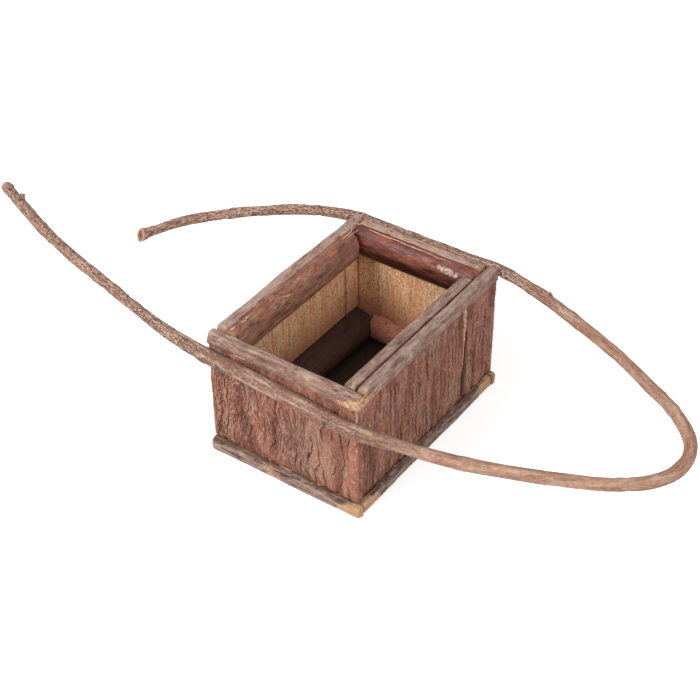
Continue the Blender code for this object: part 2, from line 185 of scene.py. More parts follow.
def grow(name, tree, values, place=None, start=None):
    """Runs a tree, keeps the plain mesh that comes out, and sets it in its place."""
    seedling = bpy.data.objects.new(name, start or bpy.data.meshes.new(name))
    bpy.context.scene.collection.objects.link(seedling)
    growth = seedling.modifiers.new("growth", "NODES")
    growth.node_group = tree
    for item in tree.interface.items_tree:
        if item.in_out == "INPUT" and item.name in values:
            growth[item.identifier] = values[item.name]
    depsgraph = bpy.context.evaluated_depsgraph_get()
    mesh = bpy.data.meshes.new_from_object(seedling.evaluated_get(depsgraph))
    bpy.data.objects.remove(seedling)
    if place:
        mesh.transform(place)
    piece = bpy.data.objects.new(name, mesh)
    bpy.context.scene.collection.objects.link(piece)
    return piece


def settle(piece, slot, *nodes):
    """Puts a finished piece on the frame, in place of its CAD nodes."""
    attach(piece, "root")
    if nodes:
        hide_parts(*nodes)


WALL_TURN = {"front": 0, "right": 90, "back": 180, "left": 270}


def wall_box(node, wall):
    """The corners of a CAD node seen from its wall: X along the wall, Y inwards, Z up."""
    turn = Matrix.Rotation(-math.radians(WALL_TURN[wall]), 3, "Z")
    first, second = (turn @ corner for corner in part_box(node))
    return Vector(map(min, first, second)), Vector(map(max, first, second))


def wall_place(wall, point, tip=0):
    """The place of a piece made upright for the front wall: tipped about X, then turned to its wall."""
    turn = Matrix.Rotation(math.radians(WALL_TURN[wall]), 4, "Z")
    return turn @ Matrix.Translation(point) @ Matrix.Rotation(math.radians(tip), 4, "X")


def colour(red, green, blue):
    """A colour as a paint chart gives it, 0 to 255, turned to the linear values that light works in."""
    chart = (share / 255 for share in (red, green, blue))
    return (*(c / 12.92 if c <= 0.04045 else ((c + 0.055) / 1.055) ** 2.4 for c in chart), 1)


def new_finish(name, roughness, metallic=0.0):
    """A material, its shader, and the lay: each point's place along the grain (X) and across it."""
    material = bpy.data.materials.new(name)
    material.use_nodes = True
    shader = material.node_tree.nodes["Principled BSDF"]
    shader.inputs["Roughness"].default_value = roughness
    shader.inputs["Metallic"].default_value = metallic
    return material, shader, attribute(material.node_tree, "lay", "Vector")


def attribute(tree, name, out="Fac"):
    """A value that the piece's own tree has stored on its mesh."""
    return add(tree, "ShaderNodeAttribute", out=out, attribute_name=name)


def mixed(share, first, second):
    """The first colour, with this share of the second over it."""
    values = {0: share, 6: first, 7: second}
    return add(share.tree, "ShaderNodeMix", values, out=2, data_type="RGBA")


def wear(shader, values):
    """Feeds a shader's inputs by name."""
    for name, value in values.items():
        value.tree.links.new(value.socket, shader.inputs[name])


def relief(height, distance, strength=1.0):
    """Bumps too fine for the mesh, as high as the distance."""
    values = {"Height": height, "Distance": distance, "Strength": strength}
    return add(height.tree, "ShaderNodeBump", values)


sawn_board, given = new_tree(
    "sawn_board",
    {"Width": 80 * MM, "Thickness": 3.8 * MM, "Height": 72 * MM, "Grain Spacing": 0.9 * MM,
     "Grain Depth": 0.12 * MM},
)
size = vector(sawn_board, given["Width"], given["Thickness"], given["Height"])
rows = {
    "Size": size, "Vertices X": given["Width"] / (0.5 * MM), "Vertices Y": 2,
    "Vertices Z": given["Height"] / (3 * MM),
}
board = add(sawn_board, "GeometryNodeMeshCube", rows)
x, y, z = add(sawn_board, "GeometryNodeInputPosition").split()
board = store(board, "lay", vector(sawn_board, z + given["Seed"] * 0.2, x, y), "FLOAT_VECTOR")
aside = (given["Width"] / 2 - abs(x)).ramp(1.1 * MM, 0.3 * MM)
board = store(board, "soiled", aside)
fibres = vector(sawn_board, x / given["Grain Spacing"], y / given["Thickness"], z / (22 * MM))
sunk = noise(fibres, given["Seed"], 3.0) * given["Grain Depth"] * y.work("SIGN")
offset = vector(sawn_board, 0, sunk * -1, 0)
board = add(sawn_board, "GeometryNodeSetPosition", {"Geometry": board, "Offset": offset})
end_tree(board, given)


def object_place(tree):
    """Where each point lies in the frame, because every piece has its origin there."""
    return add(tree, "ShaderNodeTexCoord", out="Object")


def board_finish(name, shade):
    """Sawn softwood: soft bands, fine upright streaks and dense dark pores, and painted shade towards the
    foot.
    """
    material, shader, lay = new_finish(name, 0.72)
    bands = noise(scaled(lay, 70 * MM, 7 * MM), 1.0, 2.0)
    streaks = noise(scaled(lay, 16 * MM, 0.9 * MM), 2.0, 4.0, 0.65)
    dashes = noise(scaled(lay, 1.7 * MM, 0.8 * MM), 5.0, 3.0, 0.7)
    pores = cells(scaled(lay, 2.1 * MM, 0.62 * MM)).ramp(0.34, 0.16)
    pores = pores * noise(scaled(lay, 9 * MM, 4 * MM), 3.0).ramp(0.36, 0.56)
    # Every tone is dimmed by shade, which on the floor board is painted shade.
    tones = (
        colour(*(tone * shade for tone in tones))
        for tones in ((255, 220, 174), (248, 194, 148), (164, 98, 66), (92, 48, 34))
    )
    light, mid, dark, pore = tones
    wood = mixed(bands.ramp(0.32, 0.68), light, mid)
    wood = mixed(streaks.ramp(0.42, 0.7) * 0.7, wood, dark)
    wood = mixed(dashes.ramp(0.48, 0.62) * 0.75, wood, dark)
    wood = mixed(pores * 0.85, wood, pore)
    # Darker towards the foot: painted shade low in the box.
    height = object_place(material.node_tree).split()[2]
    wood = mixed((height + bands * (8 * MM)).ramp(46 * MM, 24 * MM) * 0.6, wood, dark)
    wood = mixed(attribute(material.node_tree, "soiled") * 0.6, wood, pore)
    wear(shader, {"Base Color": wood, "Normal": relief(streaks + dashes * 0.5, 0.25 * MM, 0.8)})
    return material


# The floor board is the pale board dimmed to 0.3: painted shade, as the floor lies in shade.
pale_board, floor_painted_shade = board_finish("pale_board", 1.0), board_finish("floor_painted_shade", 0.3)
BOARDS = {
    "board_front": "front", "board_back": "back", "board_right": "right", "board_left_near": "left",
    "board_left_far": "left", "floor_board": "front",
}
for seed, (node, wall) in enumerate(BOARDS.items(), 1):
    low, high = wall_box(node, wall)
    span = high - low
    flat = node == "floor_board"
    values = {
        "Width": span.x, "Thickness": span.z if flat else span.y, "Height": span.y if flat else span.z,
        "Seed": float(seed), "Material": floor_painted_shade if flat else pale_board,
    }
    piece = grow(f"{node}_piece", sawn_board, values, wall_place(wall, (low + high) / 2, 90 if flat else 0))
    settle(piece, "pale_board", node)


# ---- Bark ---------------------------------------------------------------------------------------
# Sheets of red-brown bark, peeled off a trunk and glued to the boards with their furrows upright. The
# side sheets cover the ends of the front and back ones, and the right wall is pieced from two.

bark_sheet, given = new_tree(
    "bark_sheet",
    {"Width": 88 * MM, "Thickness": 3 * MM, "Height": 63 * MM, "Crack Spacing": 5 * MM,
     "Crack Length": 34 * MM, "Crack Depth": 0.75 * MM, "Lump Height": 0.55 * MM, "Rough Side": 0.0,
     "Roughness": 0.5, "Crack Width": 0.5 * MM, "Wander": 1.6, "Lap": 0.0, "Joint Side": 0.0},
)
width, thickness, height = given["Width"], given["Thickness"], given["Height"]
size = vector(bark_sheet, width, thickness, height)
rows = {
    "Size": size, "Vertices X": width / (0.36 * MM), "Vertices Y": 3, "Vertices Z": height / (0.55 * MM),
}
sheet = add(bark_sheet, "GeometryNodeMeshCube", rows)
x, y, z = add(bark_sheet, "GeometryNodeInputPosition").split()
seed = given["Seed"]

# The broad furrows are those of the CAD slab, found by feeling for its face from outside, but not past
# its edges.
reach = width / 2 - given["Lap"] - 0.5 * MM
within = x.work("MAXIMUM", reach * -1).work("MINIMUM", reach)
DEEPEST_FURROW = 1.5 * MM
outside = vector(bark_sheet, within, -10 * MM, z * 0.992)
feeler = {
    "Target Geometry": given["Geometry"], "Source Position": outside, "Ray Direction": (0, 1, 0),
    "Ray Length": 20 * MM,
}
face = add(bark_sheet, "GeometryNodeRaycast", feeler, out=1).split()[1] + thickness / 2
face = face.work("MINIMUM", DEEPEST_FURROW).work("MAXIMUM", 0.0)
furrow = add(bark_sheet, "GeometryNodeBlurAttribute", {"Value": face, "Iterations": 3})


def at(divide_x, divide_z, layer):
    """A place on the sheet, counted in pattern sizes across and up."""
    return vector(bark_sheet, x / divide_x, layer, z / divide_z)


def crack_lines(across, up, gap):
    """A crack along every whole number of across, broken into lengths of its own."""
    line = (across + 0.5).work("FLOOR")
    broken = noise(vector(across.tree, line * 7.3, up, 0), 0.0, 2.0).ramp(0.4, 0.56)
    return abs(across - line).ramp(gap, 0.0) * broken


def cracks_in(pattern, rough, gap):
    """The cracks of a sheet: long ones, and two kinds of short ones where it is rough."""
    across, fine, up = pattern.split()
    short = crack_lines(fine, up * 4.5, gap * 2)
    shorter = crack_lines(fine * 1.7 + 0.4, up * 8, gap * 2.6) * 0.8
    short = short.work("MAXIMUM", shorter) * (rough * 0.9 + 0.15).work("MINIMUM", 1.0)
    return crack_lines(across, up, gap).work("MAXIMUM", short)


bend = noise(at(10 * MM, 17 * MM, 1.0), seed, 2.0) * given["Wander"]
kinks = noise(at(2.6 * MM, 4.5 * MM, 2.0), seed, 2.0)
spacing = given["Crack Spacing"]
pattern = vector(
    bark_sheet, x / spacing + bend + kinks * 0.5, x * 2.4 / spacing + bend * 1.9 + kinks * 1.3,
    z / given["Crack Length"] + seed,
)
rough = given["Roughness"] + given["Rough Side"] * (x / width)
# Cracks and lumps are shallower towards the upper edge.
calm = (height / 2 - z).ramp(2 * MM, 9 * MM) * 0.75 + 0.25
gape = given["Crack Width"] / spacing
crack = cracks_in(pattern, rough, gape * 1.4) * calm
lumps = noise(at(2.1 * MM, 5.2 * MM, 9.0), seed, 3.0, 0.55)
grit = noise(at(0.9 * MM, 2.2 * MM, 12.0), seed, 2.0, 0.6)
hollow = (lumps - 0.36).work("MAXIMUM", 0.0) * (0.8 + rough) + grit * 0.2
sunk = furrow + given["Crack Depth"] * crack + given["Lump Height"] * hollow * calm * 2
aside, above = width / 2 - abs(x), height / 2 - abs(z)
ragged = noise(at(2.4 * MM, 2.4 * MM, 15.0), seed, 3.0)
sunk = sunk + above.ramp(1.4 * MM, 0.0) * (ragged * 1.1 * MM) + aside.ramp(1.0 * MM, 0.0) * (0.6 * MM)
# The outer face sinks at a joint, the back stays flat, and the upper and lower edges are uneven.
joint = (x * given["Joint Side"]).ramp(width / 2 - 2.1 * MM, width / 2 - 0.7 * MM)
sunk = sunk + joint * (0.5 + ragged) * (0.8 * MM)
outer = 0.5 - y / thickness
pull_z = above.ramp(3 * MM, 0.0) * ragged * z.work("SIGN") * (-0.9 * MM)
sheet = store(sheet, "lay", vector(bark_sheet, z + seed * 0.3, x, y), "FLOAT_VECTOR")
sheet = store(sheet, "pattern", pattern, "FLOAT_VECTOR")
# How deep the furrows and lumps are, for the painted shade in them.
sheet = store(sheet, "sunk", (furrow / (2.2 * MM) + (lumps - 0.42) * (rough * 1.2 + 0.6)) * outer)
for name, value in {"calm": calm, "gape": gape, "joint": joint, "rough": rough}.items():
    sheet = store(sheet, name, value)
offset = vector(bark_sheet, 0, outer * sunk, pull_z)
sheet = add(bark_sheet, "GeometryNodeSetPosition", {"Geometry": sheet, "Offset": offset})
end_tree(sheet, given)


def distance(place, centre):
    """How far each point lies from a centre, which is given in millimetres."""
    values = {0: place, 1: [part * MM for part in centre]}
    return add(place.tree, "ShaderNodeVectorMath", values, out="Value", operation="DISTANCE")


GREYED_SPOT = (14, -66, 30)
furrowed_bark, shader, lay = new_finish("furrowed_bark", 0.88)
tree = furrowed_bark.node_tree
sunk, rough, calm, gape = (attribute(tree, name) for name in ("sunk", "rough", "calm", "gape"))
crack = cracks_in(attribute(tree, "pattern", "Vector"), rough, gape) * calm
crack = crack.work("MAXIMUM", attribute(tree, "joint"))
patches = noise(scaled(lay, 21 * MM, 9 * MM), 1.0, 3.0)
greying = noise(scaled(lay, 30 * MM, 13 * MM), 6.0, 3.0)
grain = noise(scaled(lay, 3.4 * MM, 0.8 * MM), 2.0, 5.0, 0.7)
wrinkles = noise(scaled(lay, 2.6 * MM, 1.5 * MM), 7.0, 3.0, 0.6)
speckle = noise(scaled(lay, 1.1 * MM, 0.9 * MM), 3.0, 2.0, 0.6)
coarse = noise(scaled(lay, 2.6 * MM, 1.9 * MM), 9.0, 4.0, 0.7)
scuffs = noise(scaled(lay, 3.0 * MM, 1.3 * MM), 4.0, 2.0).ramp(0.59, 0.67)
away = distance(object_place(tree), GREYED_SPOT) + greying * (20 * MM)
greyed = greying.ramp(0.48, 0.64).work("MAXIMUM", away.ramp(34 * MM, 22 * MM))
bark = mixed(patches.ramp(0.38, 0.64), colour(182, 120, 96), colour(158, 98, 77))
bark = mixed(greyed * 0.7, bark, colour(168, 132, 112))
bark = mixed(grain.ramp(0.48, 0.7) * 0.35, bark, colour(112, 66, 50))
bark = mixed(coarse.ramp(0.48, 0.62) * 0.5, bark, colour(116, 68, 53))
bark = mixed(speckle.ramp(0.5, 0.62) * (0.25 + rough * 0.5), bark, colour(204, 156, 134))
# Darker where the sheet is sunk: painted shade in the furrows and hollows.
bark = mixed((sunk + wrinkles * 0.6 - 0.3).ramp(0.1, 0.75) * 0.62, bark, colour(88, 46, 35))
bark = mixed(crack * 0.88, bark, colour(44, 20, 15))
bark = mixed(scuffs * (1 - sunk.ramp(0.15, 0.5)) * (1 - crack) * 0.6, bark, colour(216, 172, 150))
height = wrinkles + grain * 0.7 + speckle * 0.4 - crack * 0.8
wear(shader, {"Base Color": bark, "Normal": relief(height, 0.5 * MM, 0.9)})

BARK_SHEETS = (
    # node, wall, spacing, length, wander, width and depth of the cracks, lump height, roughness, rough
    # side, laps at both ends, joint side
    ("bark_front", "front", 4.8, 26, 2.6, 0.55, 0.75, 0.5, 0.55, -0.9, 2.2, 2.2, 0),
    ("bark_back", "back", 4.8, 34, 2.2, 0.5, 0.75, 0.5, 0.5, 0.0, 2.2, 2.2, 0),
    ("bark_left", "left", 4.2, 30, 1.9, 0.6, 0.7, 0.55, 0.5, 0.3, -1.0, -1.0, 0),
    ("bark_right_near", "right", 3.4, 17, 1.6, 0.95, 0.85, 0.55, 0.45, 0.0, -1.0, 0.0, 1),
    ("bark_right_far", "right", 4.4, 10, 1.6, 0.7, 0.5, 0.6, 0.6, 0.3, 0.0, -1.0, -1),
)
for seed, row in enumerate(BARK_SHEETS, 1):
    node, wall, spacing, length, wander, gape, depth, lump, roughness, side, start, stop, joint = row
    low, high = wall_box(node, wall)
    low.x -= start * MM
    high.x += stop * MM
    span = high - low
    place = wall_place(wall, (low + high) / 2)
    slab = frame["nodes"][node].data.copy()
    slab.transform(place.inverted())
    values = {
        "Width": span.x, "Thickness": span.y, "Height": span.z, "Crack Spacing": spacing * MM,
        "Crack Length": length * MM, "Crack Depth": depth * MM, "Lump Height": lump * MM,
        "Roughness": roughness, "Rough Side": side, "Crack Width": gape * MM,
        "Wander": wander, "Lap": max(start, stop, 0.0) * MM, "Joint Side": float(joint),
        "Seed": float(seed), "Material": furrowed_bark,
    }
    piece = grow(f"{node}_piece", bark_sheet, values, place, start=slab)
    settle(piece, "furrowed_bark", node)


# ---- Split branches -----------------------------------------------------------------------------
# Thin branches split down the middle, bark left on. Some cap the rim, thicker ones line it inside,
# and others run round the foot, inside and outside. All are nailed to the boards.

split_branch, given = new_tree(
    "split_branch",
    {"Length": 95 * MM, "Width": 7.2 * MM, "Bulge": 7.7 * MM, "Squareness": 2.8, "Ridge Length": 14 * MM,
     "Ridge Spacing": 1.3 * MM, "Ridge Height": 0.5 * MM, "Crack Depth": 0.6 * MM, "Crust": 0.2 * MM,
     "Slant": 0.1, "Raw Edge": 0.5 * MM, "Sway": 1.2 * MM},
)
length, seed = given["Length"], given["Seed"]
ends = {"Start": vector(split_branch, length / -2, 0, 0), "End": vector(split_branch, length / 2, 0, 0)}
line = add(split_branch, "GeometryNodeCurvePrimitiveLine", ends)
line = add(split_branch, "GeometryNodeResampleCurve", {"Curve": line, "Count": length / (0.6 * MM)})


def run_along(tree):
    """How far each point of a curve lies from the curve's start."""
    return add(tree, "GeometryNodeSplineParameter", out="Length")


def tube(line, ring_size, thickness=None):
    """A closed tube round a line. Its points keep their run along the line and their turn round it."""
    tree = line.tree
    line = store(line, "run", run_along(tree))
    ring = add(tree, "GeometryNodeCurvePrimitiveCircle", ring_size)
    ring = store(ring, "turn", add(tree, "GeometryNodeSplineParameter", out="Factor"))
    values = {"Curve": line, "Profile Curve": ring, "Fill Caps": True}
    if thickness is not None:
        values["Scale"] = thickness
    return add(tree, "GeometryNodeCurveToMesh", values)


def named(tree, name, data_type="FLOAT"):
    """A value that was stored under this name, for use in a geometry tree."""
    return add(tree, "GeometryNodeInputNamedAttribute", {"Name": name}, data_type=data_type)


stick = tube(line, {"Resolution": 64})
run, turn = named(split_branch, "run"), named(split_branch, "turn") * math.tau
side, top = turn.work("COSINE"), turn.work("SINE").work("MAXIMUM", 0.0)
rounding = given["Squareness"] ** -1 * 2
x = run - length / 2
y = side.work("SIGN") * abs(side) ** rounding * given["Width"] / 2
z = top ** rounding * given["Bulge"]


def along_branch(divide_x, divide_across, layer):
    """A place on the branch, counted in pattern sizes along and round it."""
    return vector(split_branch, x / divide_x + layer, y / divide_across, z / divide_across)


ridges = noise(along_branch(given["Ridge Length"], given["Ridge Spacing"], 0.0), seed, 3.0, 0.6)
crust = noise(along_branch(2.6 * MM, 1.5 * MM, 10.0), seed, 4.0, 0.65)
worn = noise(along_branch(13 * MM, 5 * MM, 20.0), seed, 2.0)
split_line = noise(along_branch(34 * MM, 2.2 * MM, 30.0), seed, 1.0)
gaping = noise(vector(split_branch, x / (11 * MM), 0, 0), seed + 2, 1.0).ramp(0.42, 0.6)
crack = abs(split_line - 0.5).ramp(0.03, 0.0) * gaping
sunk = given["Ridge Height"] * (ridges + worn - 0.5).work("MAXIMUM", 0.0)
sunk = sunk + crack * given["Crack Depth"] + crust * given["Crust"]
inwards = 1 - sunk / given["Bulge"]
end = run.work("MINIMUM", length - run)
taper = 1 - end.ramp(1.3 * MM, 0.0) * 0.12
# The ends are chipped and sawn aslant, and the crest sways from side to side.
chipped = noise(vector(split_branch, x * 3, y / (1.1 * MM), z / (1.1 * MM)), seed, 2.0)
slip = end.ramp(5 * MM, 0.0) * x.work("SIGN") * (-1 * (chipped * 0.9 * MM + z * given["Slant"]))
sway = noise(vector(split_branch, x / (26 * MM), 7, 0), seed, 1.0) - 0.5
sway = sway * given["Sway"] * (z / given["Bulge"])
stick = store(stick, "lay", vector(split_branch, run + seed * 0.31, y, z), "FLOAT_VECTOR")
frayed = noise(along_branch(5 * MM, 2 * MM, 40.0), seed, 2.0)
edge = (given["Raw Edge"] * (frayed + 0.6) - z).ramp(-0.1 * MM, 0.2 * MM)
stick = store(stick, "raw", edge.work("MAXIMUM", end.ramp(0.8 * MM, 0.1 * MM) * 0.8))
stick = store(stick, "crack", crack.work("MAXIMUM", ridges.ramp(0.54, 0.8) * 0.4))
# How near each point lies to the crest, for a painted highlight along it.
stick = store(stick, "crest", (z / given["Bulge"]).ramp(0.72, 1.0))
place = vector(split_branch, x + slip, y * inwards * taper + sway, z * inwards * taper)
stick = add(split_branch, "GeometryNodeSetPosition", {"Geometry": stick, "Position": place})
end_tree(stick, given)


def branch_finish(name, roughness, light, mid, dark, pale_share, bare_or_sheen_spots=(), underside_shade=0.0, gloss=None):
    """Bark of a thin branch, streaked along its length, with raw wood at its cut edges.

    Where bark is worn off at the given spots, raw wood shows too. Where a gloss colour is given, those
    spots and the cut ends take it instead, as a painted sheen. The crest gets a painted highlight, and the
    lower half can take painted shade.
    """
    material, shader, lay = new_finish(name, roughness)
    tree = material.node_tree
    patches = noise(scaled(lay, 15 * MM, 4 * MM), 1.0, 3.0)
    streaks = noise(scaled(lay, 9 * MM, 0.8 * MM), 2.0, 5.0, 0.65)
    flecks = noise(scaled(lay, 1.8 * MM, 0.9 * MM), 3.0, 3.0, 0.7)
    rubbed = noise(scaled(lay, 12 * MM, 1.8 * MM), 5.0, 4.0, 0.6)
    blots = noise(scaled(lay, 4.5 * MM, 1.6 * MM), 9.0, 4.0, 0.7)
    mottle = noise(scaled(lay, 9 * MM, 4 * MM), 12.0, 3.0, 0.6)
    crest = attribute(tree, "crest")
    lower = lay.split()[1]
    skin = mixed(patches.ramp(0.38, 0.64), light, mid)
    skin = mixed(mottle.ramp(0.52, 0.62) * pale_share * 0.8, skin, colour(204, 180, 166))
    skin = mixed(mottle.ramp(0.46, 0.36) * 0.5, skin, dark)
    skin = mixed(streaks.ramp(0.46, 0.72) * 0.6, skin, dark)
    skin = mixed(blots.ramp(0.5, 0.66) * 0.6, skin, dark)
    # Pale where rubbed, which is real wear, and along the crest, which is a painted highlight.
    skin = mixed((rubbed + crest * 0.11).ramp(0.5, 0.72) * pale_share, skin, colour(186, 160, 146))
    skin = mixed(flecks.ramp(0.56, 0.7) * pale_share, skin, colour(212, 184, 166))
    skin = mixed(attribute(tree, "crack").ramp(0.3, 1.0) * 0.7, skin, colour(66, 40, 32))
    # Darker on the lower half: painted shade.
    skin = mixed((lower + patches * (9 * MM)).ramp(1 * MM, 8 * MM) * underside_shade, skin, dark)
    timber = mixed(streaks.ramp(0.4, 0.7), colour(206, 166, 130), colour(160, 114, 84))
    raw = attribute(tree, "raw").ramp(0.3, 0.8)
    place = object_place(tree)
    for centre, radius in bare_or_sheen_spots:
        away = distance(place, centre) / (radius * MM)
        torn_or_sheen = (away + flecks * 0.9 + streaks * 0.9 + blots * 0.8 - 1.3).ramp(1.05, 0.75)
        raw = raw.work("MAXIMUM", torn_or_sheen)
    # With a gloss colour, the spots and cut ends take it: a painted sheen, broken up by flecks.
    if gloss:
        raw = raw * (flecks.ramp(0.42, 0.56) * 0.7 + 0.25)
    skin = mixed(raw, skin, gloss or timber)
    wear(shader, {"Base Color": skin, "Normal": relief(streaks + flecks * 0.6, 0.45 * MM)})
    return material


weathered = branch_finish(
    "weathered_branch", 0.82, colour(166, 131, 115), colour(140, 104, 90), colour(84, 58, 48), 0.6,
    # the torn near corner of the rim
    (((38, -69, 74), 3), ((43, -69, 73.5), 4), ((48, -66, 74), 4), ((48, -58, 73), 3)),
)
muddy = branch_finish(
    "foot_branch", 0.85, colour(128, 94, 79), colour(98, 69, 57), colour(50, 33, 27), 0.62,
    (
        # bare wood at the near corner, at the far right corner and in the middle of the front
        ((38, -68, 2), 4), ((43, -69, 4), 6), ((48, -67, 5), 7), ((49, -59, 4), 6.5), ((49, -52, 3), 4.5),
        ((49, 54, 3), 6), ((49, 61, 4), 7), ((49, 67, 5), 6), ((-8, -68, 0.5), 4), ((-4, -68, 0), 4),
    ),
)
crusty = branch_finish(
    "crusty_branch", 0.85, colour(186, 146, 127), colour(150, 110, 93), colour(78, 52, 42), 0.9
)
brown = branch_finish(
    "brown_branch", 0.7, colour(170, 108, 81), colour(136, 84, 63), colour(64, 36, 26), 0.24
)
# Dark copy of the base branch for the rails inside the foot: painted shade, as they lie in shade.
shaded = branch_finish(
    "base_branch", 0.66, colour(74, 44, 35), colour(62, 35, 28), colour(40, 21, 17), 0.04
)
# A much lighter copy of the base branch for the far rail inside the foot, which is lit: painted light.
far_base_painted_light = branch_finish(
    "far_base_branch_painted_light", 0.66, colour(206, 138, 110), colour(184, 116, 92), colour(134, 80, 62), 0.08
)
red = branch_finish(
    "smooth_red_branch", 0.3, colour(146, 68, 44), colour(98, 42, 29), colour(40, 15, 10), 0.12,
    (
        # the painted sheen on the right half of the far rail
        ((15, 51, 76.8), 1.8), ((17.5, 51, 76.2), 2.4), ((20, 51, 75.6), 2.6), ((22.5, 51, 75.4), 2.6),
        ((25, 51, 75.2), 2.5), ((28, 51, 74.8), 2.0),
    ),
    underside_shade=0.9, gloss=colour(222, 190, 176),
)

NO_RAW_EDGE = -1.0
BRANCHES = (
    # kind, tip, finish, squareness, ridge spacing, ridge height, crust, raw edge of the one in front
    ("rim_strip", 0, weathered, 2.8, 1.5, 0.45, 0.4, 0.3),
    ("base_strip", 90, muddy, 4.0, 1.2, 0.5, 0.45, 0.3),
    ("rim_rail", -90, brown, 2.7, 1.6, 0.3, 0.15, NO_RAW_EDGE),
    # the rails inside the foot take the dark copy, painted shade, but for the far one
    ("base_rail", -90, shaded, 2.2, 1.8, 0.3, 0.12, NO_RAW_EDGE),
)
# How single branches differ from the others of their kind: a wider strip reaches further inwards.
OWN_WAYS = {
    "rim_strip_front": {"sway": 2.4},
    "rim_strip_right": {"squareness": 3.6},
    "rim_strip_back": {"sway": 3.0, "wider": 1.8, "finish": crusty},
    "rim_strip_left": {"sway": 3.4, "wider": 1.8, "finish": crusty},
    "rim_rail_right": {"squareness": 3.6, "finish": weathered},
    "rim_rail_back": {"finish": red, "slot": "smooth_red_branch"},
    # the far rail inside the foot takes the lighter copy: painted light
    "base_rail_back": {"finish": far_base_painted_light},
}
for kind, tip, finish, squareness, spacing, ridge, crust, raw_edge in BRANCHES:
    for number, wall in enumerate(WALL_TURN):
        node = f"{kind}_{wall}"
        if node not in frame["nodes"]:
            continue
        own = OWN_WAYS.get(node, {})
        low, high = wall_box(node, wall)
        high.y += own.get("wider", 0.0) * MM
        span, point = high - low, (low + high) / 2
        # the flat side lies on the wall: below on a strip of the rim, behind on the others
        if tip == 0:
            point.z = low.z
        else:
            point.y = high.y if tip > 0 else low.y
        values = {
            "Length": span.x, "Width": span.z if tip else span.y, "Bulge": span.y if tip else span.z,
            "Squareness": own.get("squareness", squareness), "Sway": own.get("sway", 1.2) * MM,
            "Ridge Spacing": spacing * MM, "Ridge Height": ridge * MM, "Crust": crust * MM,
            "Raw Edge": (raw_edge if wall == "front" else NO_RAW_EDGE) * MM,
            "Seed": number + 1.5 + len(kind), "Material": own.get("finish", finish),
        }
        piece = grow(f"{node}_piece", split_branch, values, wall_place(wall, point, tip))
        settle(piece, own.get("slot", "weathered_branch"), node)


# ---- Vine ---------------------------------------------------------------------------------------
# One dry vine as thick as a pencil, bent into a hairpin while green. It lies along the front and the
# back wall, bends round far out on the right, and ends in two saw cuts on the left.

BOX_WIDTH, BOX_DEPTH, BOX_HEIGHT = 94.6, 132.0, 80.0
VINE_RADIUS, FRONT_RADIUS = 3.4, 4.1
FIT_GAP = 0.3
NEAR_LEG_REACH, BEND_REACH, FAR_LEG_REACH = 175.2, 141.9, 92.0
# Share of the reach past the box, share of the leg's distance from the middle, drop below the rim,
# and thickness against VINE_RADIUS.
NEAR_LEG = (
    (1.00, 0.39, 0.0, 0.90), (0.87, 0.51, 1.6, 1.00), (0.73, 0.63, 3.5, 0.95), (0.59, 0.73, 5.2, 0.98),
    (0.45, 0.80, 7.0, 0.92), (0.31, 0.88, 8.5, 0.95), (0.17, 0.95, 10.0, 1.00),
)
BEND = (
    (0.17, -0.94, 17.5, 0.98), (0.35, -0.86, 17.9, 1.05), (0.53, -0.74, 17.8, 1.02),
    (0.70, -0.60, 17.5, 1.02), (0.86, -0.44, 17.0, 1.00), (0.97, -0.23, 16.5, 1.03),
    (1.00, -0.05, 16.0, 1.06), (0.985, 0.14, 15.4, 1.04), (0.90, 0.34, 14.5, 1.00),
    (0.72, 0.54, 12.6, 0.98), (0.555, 0.69, 11.0, 0.93), (0.385, 0.81, 9.5, 0.92),
    (0.205, 0.92, 8.0, 0.95),
)
FAR_LEG = (
    (0.28, 0.89, 8.0, 0.94), (0.50, 0.70, 8.6, 0.92), (0.70, 0.47, 9.4, 0.94), (0.88, 0.19, 10.0, 0.88),
    (1.00, -0.14, 10.5, 0.88),
)


def free_stretch(rows, side, reach, line):
    """The points of a stretch that stands out from the box on one side, -1 or 1."""
    return [
        (side * (BOX_WIDTH / 2 + reach * out), line * off, BOX_HEIGHT - drop, thick)
        for out, off, drop, thick in rows
    ]


def nailed_stretch(side, drop_left, drop_right, line, thick):
    """The points of a stretch along a wall, to the right where side is 1 and else to the left."""
    shares = [i / 4 if side > 0 else 1 - i / 4 for i in range(5)]
    return [
        (BOX_WIDTH * (s - 0.5), line, BOX_HEIGHT - drop_left * (1 - s) - drop_right * s, thick)
        for s in shares
    ]


front_line = BOX_DEPTH / 2 + FIT_GAP + FRONT_RADIUS
back_line = BOX_DEPTH / 2 + FIT_GAP + VINE_RADIUS
route = (
    free_stretch(NEAR_LEG, -1, NEAR_LEG_REACH, -front_line)
    + nailed_stretch(1, 11.2, 16.8, -front_line, FRONT_RADIUS / VINE_RADIUS)
    + free_stretch(BEND, 1, BEND_REACH, (front_line + back_line) / 2)
    + nailed_stretch(-1, 7.2, 5.8, back_line, 1.0)
    + free_stretch(FAR_LEG, -1, FAR_LEG_REACH, back_line)
)
SIDE_STUB = [(-206, -32, 79.5, 0.6), (-208.5, -29.5, 80.2, 0.5), (-209.4, -27.6, 80.6, 0.42)]
